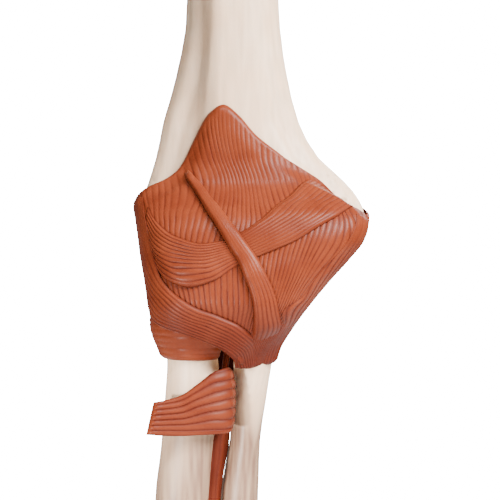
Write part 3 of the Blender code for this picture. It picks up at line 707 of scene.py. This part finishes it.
# The back of the capsule, and the ligaments behind each epicondyle.
posterior_rows = [
    back((-19.6, 18.0), (-15.0, 24.4), (-6.0, 29.6), (7.0, 31.8), (16.0, 28.6), (23.0, 21.6)),
    back((-16.4, 14.0), (-9.0, 18.6), (-3.0, 21.8), (8.0, 23.6), (18.4, 21.4), (25.2, 14.4)),
]
posterior = wrapped(
    "posterior_capsule_sheet", posterior_rows, 150, 44, 26, 0.3, flat_height(1.3),
    ends=(1.4, 1.2), amp=0.2, rim=posterior_rows[0], rest=0.7, run="t", seed=6.0,
)  # fmt: skip
over_elbow(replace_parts(posterior, "posterior_capsule"))

lateral_rows = [
    back((-24.9, 9.0), (-21.7, 0.0), (-18.1, -8.0), (-13.2, -16.0), (-9.2, -23.0), (-5.8, -30.0),
         (-4.2, -36.4)),
    back((-17.0, 12.2), (-9.6, 7.6), (-5.2, 0.0), (-3.2, -10.0), (-1.8, -21.0), (0.4, -30.0),
         (1.4, -36.8)),
]  # fmt: skip


def lateral_lift(s, t):
    # Its foot turns in to the crest on the side of the ulna.
    return -3.4 * ramp(0.62, 1.0, t)


lateral_back = wrapped(
    "lateral_ulnar_cords", lateral_rows, 140, 60, 8, 1.4, flat_height(2.4),
    ends=(2.5, 2.0), lift=lateral_lift, seed=7.0,
)  # fmt: skip
over_elbow(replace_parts(lateral_back, "lateral_ulnar_collateral_ligament"))

medial_rows = [
    [(14, 5.0), (18, 0.0), (22, -6.0), (26, -11.0)],
    [(40, 9.0), (42, 4.0), (44, -2.0), (46, -7.0)],
]
medial_back = wrapped(
    "ulnar_posterior_cords", medial_rows, 60, 60, 8, 0.4, flat_height(1.4), ends=(2.0, 2.0), seed=8.0,
)  # fmt: skip
over_elbow(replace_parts(medial_back, "ulnar_collateral_posterior_band"))


# The annular ligament: a lobed collar round the head and neck of the radius, its fibres going round.
ANNULAR = np.array([(-13.0, 10.5), (-17.0, 10.55), (-21.0, 10.3), (-25.0, 9.3), (-28.0, 8.3), (-30.0, 7.9)])


def annular_shape(s, t):
    z = -12.6 + s * (-30.0 + 12.6)
    angle = np.radians(40 + t * 282)
    droop = 0.9 * np.cos(angle + math.pi / 2)
    z = z - droop * s
    reach = curve(-ANNULAR[:, 0], ANNULAR[:, 1:], -z)[:, 0]
    centre = AXIS_TOP - AXIS_LEAN * z[:, None]
    way = np.stack((np.cos(angle), np.sin(angle)), -1)
    place = np.column_stack((way * reach[:, None], z))
    wander = rough(place, 8.0, 9.0)
    fine = fibre(s * 11, wander)
    foot = rounded((1 - s) * 17.4, 1.6)
    swell = 0.55 * np.exp(-(((s - 0.62) / 0.3) ** 2))
    thick = np.maximum(0.25, (1.05 + swell + 0.18 * (fine - 1) + 0.1 * wander) * foot)
    flat = np.column_stack((way, np.zeros(len(s))))
    inner = np.column_stack((centre + way * (reach + 0.15)[:, None], z))
    # Painted shade in the grooves and towards the lower edge; the floor of 0.6 is painted light, keeping the
    # collar lighter where it lies in shade.
    return inner + flat * thick[:, None], inner, np.clip(0.6 + 0.4 * fine * (0.4 + 0.6 * foot), 0, 1)


annular = sheet("annular_collar", 200, 60, annular_shape)
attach(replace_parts(annular, "annular_ligament"), ULNA_SIDE)


# The biceps tendon: from the tuberosity between the bones, forwards and round over the radius, to a cut end.
# Its path is x, y, top and foot.
TENDON = np.array(
    [
        (-1.4, 1.8, -35.8, -48.8),
        (-0.6, -2.2, -33.4, -49.8),
        (-1.2, -6.4, -32.7, -50.6),
        (-4.8, -9.0, -33.8, -50.9),
        (-9.5, -10.1, -37.2, -51.1),
        (-14.0, -10.6, -40.2, -51.3),
        (-18.6, -11.2, -41.4, -51.2),
        (-22.4, -11.8, -42.0, -50.9),
    ]
)


def tendon_shape(s, t):
    ats = np.concatenate(([0], np.cumsum(np.linalg.norm(np.diff(TENDON[:, :2], axis=0), axis=1))))
    x, y, top, foot = curve(ats, TENDON, t * ats[-1]).T
    ahead = curve(ats, TENDON, t * ats[-1] + 0.1)[:, :2] - np.stack((x, y), -1)
    ahead /= np.linalg.norm(ahead, axis=1)[:, None]
    out = np.stack((-ahead[:, 1], ahead[:, 0], 0 * x), -1)
    out *= np.where(out[:, 1] > 0, -1, 1)[:, None]
    to_end = (1 - t) * ats[-1]
    slant = 2.0 * (0.45 - s) * ramp(9.0, 0.0, to_end)
    middle = np.stack((x - slant, y, foot + (top - foot) * s), -1)
    wander = rough(middle, 6.0, 12.0)
    fine = fibre(s * 6.6 + 0.3 + 0.25 * np.sin(t * 5), wander)
    side = np.sqrt(np.clip(1 - (2 * s - 1) ** 2, 0, 1)) ** 0.7
    # The cut end is a flat face inside a soft lip.
    lip = 0.35 * np.exp(-(((to_end - 1.3) / 0.8) ** 2)) * ramp(0.0, 0.3, side)
    half = (0.2 + 1.5 * side + lip + 0.55 * (fine - 1) * side) * rounded(to_end + 0.08, 0.9)
    half = np.maximum(half, 0.12)
    # Painted shade: the whole tendon is darkened, more in the grooves between cords, and less towards the cut
    # end.
    crest = np.clip(fine * 0.62 + 0.5 * ramp(1.2, 0.4, to_end), 0, 1)
    return middle + out * half[:, None], middle - out * np.maximum(half - 0.2, 0.12)[:, None], crest


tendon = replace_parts(sheet("biceps_tendon_stump", 160, 110, tendon_shape), "biceps_tendon")
between_bones(tendon)


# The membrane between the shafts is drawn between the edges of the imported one.
def edges_of(name):
    """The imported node's levels in z, with the middle of its sides on the radius and on the ulna."""
    points = points_of(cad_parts[name])
    levels = np.unique(np.round(points[:, 2], 2))
    sides = []
    for level in levels:
        ring = points[np.abs(points[:, 2] - level) < 0.02]
        ring = np.unique(np.round(ring, 2), axis=0)
        sides.append(np.concatenate((ring[:2, :2].mean(0), ring[-2:, :2].mean(0))))
    return levels, np.array(sides)


def membrane_shape(s, t):
    levels, sides = edges_of("interosseous_membrane")
    z = levels[0] + 0.2 + (levels[-1] - levels[0] - 0.2) * t
    x0, y0, x1, y1 = curve(levels, sides, z).T
    middle = np.column_stack((x0 + (x1 - x0) * s, y0 + (y1 - y0) * s, z))
    out = np.column_stack((y1 - y0, x0 - x1, 0 * z))
    out /= np.linalg.norm(out, axis=1)[:, None]
    wander = rough(middle, 8.0, 15.0)
    fine = fibre(3.2 * s + z / 40, wander)
    belly = np.sin(np.pi * s)
    half = (0.25 + 0.3 * belly + 0.1 * (fine - 1)) * rounded((1 - t) * 50, 1.0)
    middle += out * (0.5 * belly + 0.15 * wander)[:, None]
    # Painted shade: the membrane is painted dark as the shade between the bones, darkest in its grooves.
    return middle + out * half[:, None], middle - out * half[:, None], 0.12 + 0.25 * fine


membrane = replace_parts(sheet("interosseous_membrane_sheet", 200, 24, membrane_shape), "interosseous_membrane")
between_bones(membrane)


def cord_shape(s, t):
    points = points_of(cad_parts["oblique_cord"])
    ends = points[:, 2].max(), points[:, 2].min()
    high, low = (points[np.abs(points[:, 2] - z) < 0.05].mean(0) for z in ends)
    middle = high + (low - high) * t[:, None]
    swell = 1 + 0.12 * rough(middle, 4.0, 17.0)
    across = (2 * s - 1) * 0.9 * swell
    half = np.sqrt(np.clip(0.81 - (across / swell) ** 2, 0, 1)) * swell
    half *= rounded(np.minimum(t, 1 - t) * 26 + 0.1, 0.7)
    fine = fibre(s * 3 + t * 2, 0.0)
    half = np.maximum(half - 0.08 * (1 - fine), 0.03)
    middle = middle + across[:, None] * np.array((1.0, 0, 0))
    out = np.array((0, -1.0, 0))
    # Painted shade in the grooves between its strands.
    return middle + out * half[:, None], middle - out * half[:, None], fine


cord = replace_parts(sheet("oblique_cord_strand", 90, 20, cord_shape), "oblique_cord")
between_bones(cord)


# === Stage ================================================================================================
def light(name, place, energy, size, target=(0.0, -0.01, -0.11), spread=180.0):
    data = bpy.data.lights.new(name, "AREA")
    data.energy, data.size, data.spread = energy, size, math.radians(spread)
    obj = bpy.data.objects.new(name, data)
    bpy.context.scene.collection.objects.link(obj)
    obj.location = place
    obj.rotation_euler = (Vector(target) - Vector(place)).to_track_quat("-Z", "Y").to_euler()


def make_stage():
    # A broad key from the upper right gives the bones their shaded side. The fill is narrow, and reaches the
    # elbow's lower half and the forearm.
    light("key", (1.0, -0.95, 0.75), 104.0, 0.8)
    light("top", (0.05, -0.85, 0.8), 10.0, 0.14)
    light("fill", (-0.4, -0.6, -0.3), 0.1, 0.06, (-0.01, -0.01, -0.18), 16.0)
    light("rim", (0.5, 0.7, 0.4), 4.0, 0.5)

    bpy.ops.object.select_all(action="DESELECT")
    bpy.ops.mesh.primitive_circle_add(vertices=64, radius=0.26, fill_type="NGON", location=(0, 0, -0.245))
    floor = bpy.context.object
    floor.name = "floor"
    made, tree = new_material("studio_floor")
    body = node(tree, "ShaderNodeBsdfPrincipled", Base_Color=linear("#F4F4F2"), Roughness=0.6)
    node(tree, "ShaderNodeOutputMaterial", {"Surface": body.outputs["BSDF"]})
    floor.data.materials.append(made)

    # White paper behind the object, and a softer white all round it.
    world = bpy.data.worlds.new("studio")
    bpy.context.scene.world = world
    world.use_nodes = True
    tree = world.node_tree
    tree.nodes.clear()
    soft = node(tree, "ShaderNodeBackground", Color=linear("#FFFFFF"), Strength=0.25)
    paper = node(tree, "ShaderNodeBackground", Color=linear("#FFFFFF"), Strength=24.0)
    path = node(tree, "ShaderNodeLightPath")
    mix = node(tree, "ShaderNodeMixShader", {0: path.outputs["Is Camera Ray"]})
    tree.links.new(soft.outputs[0], mix.inputs[1])
    tree.links.new(paper.outputs[0], mix.inputs[2])
    node(tree, "ShaderNodeOutputWorld", {"Surface": mix.outputs[0]})


def make_camera():
    """A long lens straight in front of the elbow, level with it."""
    data = bpy.data.cameras.new("camera")
    distance, frame_width = 1.2, 0.1375
    data.sensor_width = 36.0
    data.lens = data.sensor_width * distance / frame_width
    data.clip_start = 0.05
    obj = bpy.data.objects.new("camera", data)
    bpy.context.scene.collection.objects.link(obj)
    middle = np.array((4.95, 0.0, -0.55)) + ELBOW
    obj.location = (middle[0] * MM, middle[1] * MM - distance, middle[2] * MM)
    obj.rotation_euler = (math.pi / 2, 0, 0)
    bpy.context.scene.camera = obj


make_stage()
make_camera()
